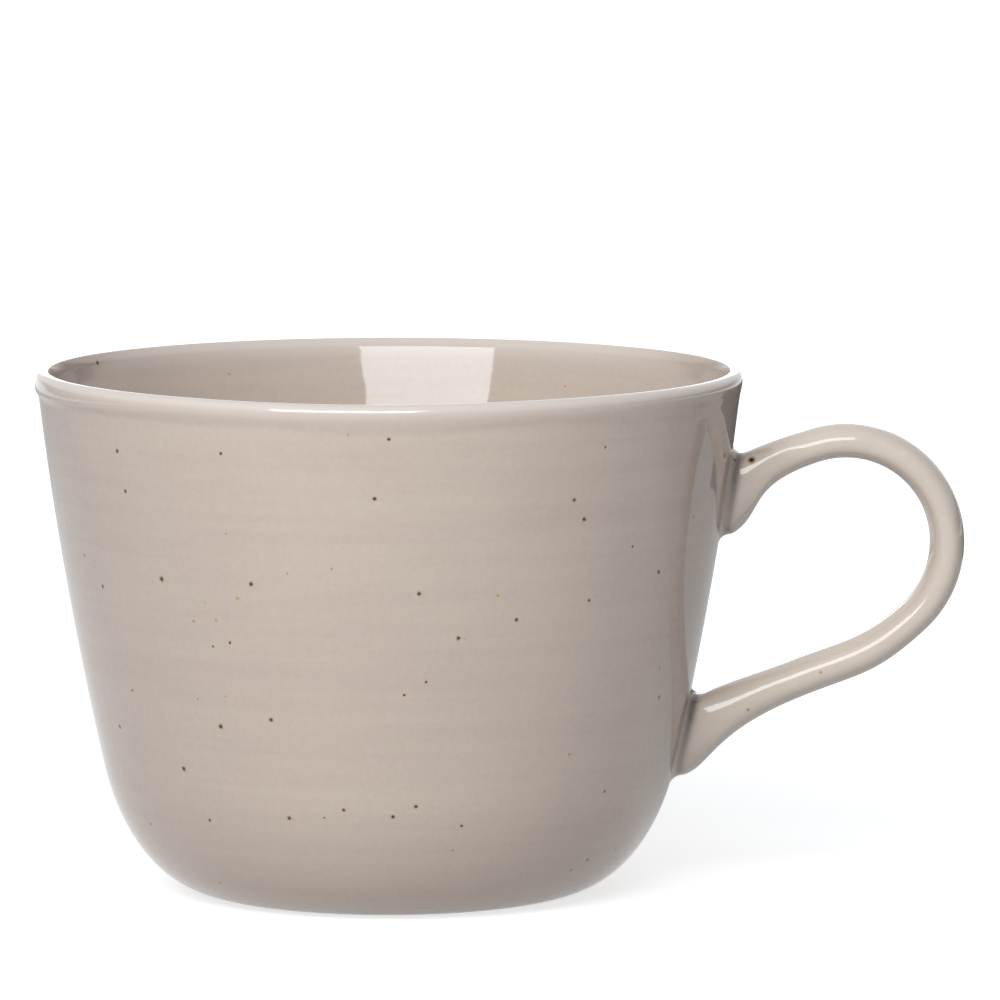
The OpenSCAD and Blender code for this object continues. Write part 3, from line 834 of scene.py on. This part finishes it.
# %% [markdown]
# ## Table, light and camera
#
# The cup stands on a white sweep. One big softbox stands to the front and a little left: its window shows
# in the far inside wall and draws the thin streaks on lip and handle. A strip of light stands low behind the
# cup and is mirrored in the top of the lip. The room is pale on the left, dim on the right and brighter
# overhead. To the camera, sweep and room are plain white. The glaze mirrors them dimmed, most of all to the
# sides, and the light that falls on the clay is set apart from both. A Light Path node tells these three
# kinds of ray apart, so the background can be pure white without washing out the cup.

# %% White sweep
# Size of the sweep in m, and how far it lies below the foot, so that the two don't meet
FLOOR_SIZE, FLOOR_DROP = 8.0, 0.00005
# Its glow near the cup, and from which to which distance from the axis it rises to 1
GLOW_NEAR, GLOW_FROM, GLOW_TO = 0.74, 0.08, 0.40
# What the glaze mirrors of it near and far, with the distances, and where the plain white begins
MIRROR_NEAR, MIRROR_FAR, MIRROR_FROM, MIRROR_TO = 0.88, 0.35, 0.12, 0.52
WHITE_FROM, WHITE_TO = 0.85, 1.1
# To the right of the cup and behind it, that is dimmed by a share over a range of X and of Y: a painted
# shadow of the cup in what the glaze mirrors
SHADE_RIGHT, SHADE_X, SHADE_Y = 0.48, (0.0, 0.045), (0.01, 0.07)


def seen(tree, mirrored):
    """1 for rays from the camera or through glass, a share for those mirrored in the glaze, 0 for the light
    on matt surfaces."""
    path = add(tree, "ShaderNodeLightPath").outputs
    dimmed = add(tree, "ShaderNodeMath", {0: path["Is Glossy Ray"], 1: mirrored}, operation="MULTIPLY")
    straight = add(tree, "ShaderNodeMath", {0: path["Is Camera Ray"], 1: path["Is Transmission Ray"]},
                   operation="MAXIMUM")
    return add(tree, "ShaderNodeMath", {0: straight.outputs[0], 1: dimmed.outputs[0]},
               operation="MAXIMUM").outputs[0]


def white_paper():
    """Matt white paper with a glow of its own, which only rays that see it pick up."""
    paper = bpy.data.materials.new("white_paper")
    tree = empty_tree(paper)
    matt = add(tree, "ShaderNodeBsdfDiffuse", {"Color": linear("#CBCBCB")})
    at = add(tree, "ShaderNodeTexCoord").outputs["Object"]
    away = add(tree, "ShaderNodeVectorMath", {0: at}, operation="LENGTH").outputs["Value"]
    level = add(tree, "ShaderNodeMapRange", {
        "Value": away, "From Min": GLOW_FROM, "From Max": GLOW_TO, "To Min": GLOW_NEAR, "To Max": 1.0},
        interpolation_type="SMOOTHSTEP")
    mirrored = add(tree, "ShaderNodeMapRange", {
        "Value": away, "From Min": MIRROR_FROM, "From Max": MIRROR_TO,
        "To Min": MIRROR_NEAR, "To Max": MIRROR_FAR})
    split = add(tree, "ShaderNodeSeparateXYZ", {0: at})
    # What the glaze mirrors of the sweep behind and to the right carries a painted shadow of the cup
    behind = add(tree, "ShaderNodeMapRange", {
        "Value": split.outputs["Y"], "From Min": SHADE_Y[0], "From Max": SHADE_Y[1],
        "To Min": 1.0, "To Max": SHADE_RIGHT})
    side = add(tree, "ShaderNodeMapRange", {
        "Value": split.outputs["X"], "From Min": SHADE_X[0], "From Max": SHADE_X[1],
        "To Min": 1.0, "To Max": behind.outputs[0]})
    mirrored = add(tree, "ShaderNodeMath", {0: mirrored.outputs[0], 1: side.outputs[0]},
                   operation="MULTIPLY")
    beyond = add(tree, "ShaderNodeMapRange", {"Value": away, "From Min": WHITE_FROM, "From Max": WHITE_TO})
    mirrored = add(tree, "ShaderNodeMath", {0: mirrored.outputs[0], 1: beyond.outputs[0]},
                   operation="MAXIMUM")
    level = add(tree, "ShaderNodeMath", {0: seen(tree, mirrored.outputs[0]), 1: level.outputs[0]},
                operation="MULTIPLY")
    glow = add(tree, "ShaderNodeEmission", {"Color": (1, 1, 1, 1), "Strength": level.outputs[0]})
    both = add(tree, "ShaderNodeAddShader", {0: matt.outputs[0], 1: glow.outputs[0]})
    add(tree, "ShaderNodeOutputMaterial", {"Surface": both.outputs[0]})
    return paper


def sheet(name, corners, material):
    """A flat four-cornered piece of the stage."""
    mesh = bpy.data.meshes.new(name)
    mesh.from_pydata(corners, [], [(0, 1, 2, 3)])
    mesh.materials.append(material)
    piece = bpy.data.objects.new(name, mesh)
    bpy.context.collection.objects.link(piece)
    return piece


half = FLOOR_SIZE / 2
floor_corners = [(x * half, y * half, -FLOOR_DROP) for x, y in ((-1, -1), (1, -1), (1, 1), (-1, 1))]
floor = sheet("white_sweep", floor_corners, white_paper())
print("sweep of", FLOOR_SIZE, "m with", len(floor.data.materials[0].node_tree.nodes), "nodes")

# %% Pale room
# Light of the room at the left and right, and what the ceiling adds, from one upward share of a direction to
# another
ROOM_LEFT, ROOM_RIGHT, ROOM_TOP = 0.37, 0.09, 0.15
CEILING_FROM, CEILING_TO = 0.4, 0.8
# What the glaze mirrors of the white room to the sides, with the sideways shares, and where all of it shows
MIRROR_SIDE, SIDE_FROM, SIDE_TO = 0.25, 0.3, 0.6
ABOVE_FROM, ABOVE_TO = 0.06, 0.2
COOL = 0.955, 1.0, 1.05
world = bpy.data.worlds.new("pale_room")
bpy.context.scene.world = world
tree = empty_tree(world)
direction = add(tree, "ShaderNodeTexCoord").outputs["Generated"]
split = add(tree, "ShaderNodeSeparateXYZ", {0: direction})
sideways, upwards = split.outputs["X"], split.outputs["Z"]
level = add(tree, "ShaderNodeMapRange", {
    "Value": sideways, "From Min": -1.0, "From Max": 1.0, "To Min": ROOM_LEFT, "To Max": ROOM_RIGHT})
ceiling = add(tree, "ShaderNodeMapRange", {
    "Value": upwards, "From Min": CEILING_FROM, "From Max": CEILING_TO, "To Min": 0.0, "To Max": ROOM_TOP},
    interpolation_type="SMOOTHSTEP")
level = add(tree, "ShaderNodeMath", {0: level.outputs[0], 1: ceiling.outputs[0]}, operation="ADD")
room = add(tree, "ShaderNodeBackground", {"Color": (*COOL, 1), "Strength": level.outputs[0]})
white = add(tree, "ShaderNodeBackground", {"Color": (1, 1, 1, 1), "Strength": 1.0})
aside = add(tree, "ShaderNodeMath", {0: sideways}, operation="ABSOLUTE")
fading = add(tree, "ShaderNodeMapRange", {
    "Value": aside.outputs[0], "From Min": SIDE_FROM, "From Max": SIDE_TO,
    "To Min": 1.0, "To Max": MIRROR_SIDE}, interpolation_type="SMOOTHSTEP")
above = add(tree, "ShaderNodeMapRange", {"Value": upwards, "From Min": ABOVE_FROM, "From Max": ABOVE_TO},
            interpolation_type="SMOOTHSTEP")
fading = add(tree, "ShaderNodeMath", {0: fading.outputs[0], 1: above.outputs[0]}, operation="MAXIMUM")
blend = add(tree, "ShaderNodeMixShader", {
    0: seen(tree, fading.outputs[0]), 1: room.outputs[0], 2: white.outputs[0]})
add(tree, "ShaderNodeOutputWorld", {"Surface": blend.outputs[0]})
print("room light from", ROOM_LEFT, "at the left to", ROOM_RIGHT, "at the right")

# %% Softboxes
# Where the lamps point, in m
AIM = np.array([0, 0, 0.05])


def softbox(name, azimuth, elevation, distance, width, height, brightness):
    """A rectangular lamp at an azimuth from +Y towards +X, facing the cup. Its power is pi times brightness
    times area."""
    a, e = radians(azimuth), radians(elevation)
    back = np.array([np.sin(a) * np.cos(e), np.cos(a) * np.cos(e), np.sin(e)])
    lamp = bpy.data.lights.new(name, "AREA")
    lamp.shape, lamp.size, lamp.size_y = "RECTANGLE", width, height
    lamp.energy, lamp.color = pi * brightness * width * height, COOL
    holder = bpy.data.objects.new(name, lamp)
    bpy.context.collection.objects.link(holder)
    holder.location = AIM + back * distance
    holder.rotation_euler = (pi / 2 - e, 0, pi - a)
    holder.visible_camera = False
    print(f"{name}: {lamp.energy:.1f} W at {np.round(holder.location, 2)}")


softbox("key_softbox", azimuth=195, elevation=33, distance=1.0, width=0.81, height=0.50, brightness=7.1)
softbox("rim_strip", azimuth=0, elevation=7.4, distance=1.3, width=0.5, height=0.137, brightness=1.35)

# %% [markdown]
# A pale, glossy thing on white loses its edges. Photographers stand a dark card beside it, out of the
# picture, and its reflection draws the edge back in. Here a low card behind the handle edges the right end of
# the lip. A flat four-cornered sheet is enough, hidden from the camera.

# %% A card behind
# Ends of the card on the floor, and its height, in m
CARD_ENDS, CARD_TOP = ((0.255, 0.24), (0.05, 0.54)), 0.045
(x0, y0), (x1, y1) = CARD_ENDS
dark_board = bpy.data.materials.new("dark_board")
tree = empty_tree(dark_board)
board = add(tree, "ShaderNodeBsdfDiffuse", {"Color": linear("#76716D")})
add(tree, "ShaderNodeOutputMaterial", {"Surface": board.outputs[0]})
card = sheet("dark_card", [(x0, y0, 0), (x1, y1, 0), (x1, y1, CARD_TOP), (x0, y0, CARD_TOP)], dark_board)
card.visible_camera = False
print(f"card {np.hypot(x1 - x0, y1 - y0):.2f} m long")

# %% [markdown]
# The camera is fitted to the outline of the cup: both ends of the rim, the near and far rim, the foot and
# the handle. It has a long lens and looks down by a few degrees, so the rim is a narrow ellipse. The Standard
# view keeps colours as they are written.

# %% Camera
camera = bpy.data.cameras.new("camera")
camera.sensor_width = 36
camera.lens = 322.157
camera_holder = bpy.data.objects.new("camera", camera)
bpy.context.collection.objects.link(camera_holder)
camera_holder.location = (0, -1.384016, 0.214538)
camera_holder.rotation_euler = (radians(83.671), 0, radians(-0.712))
bpy.context.scene.camera = camera_holder
bpy.context.scene.view_settings.view_transform = "Standard"
print(f"camera {abs(camera_holder.location.y):.2f} m in front, lens {camera.lens:.0f} mm")
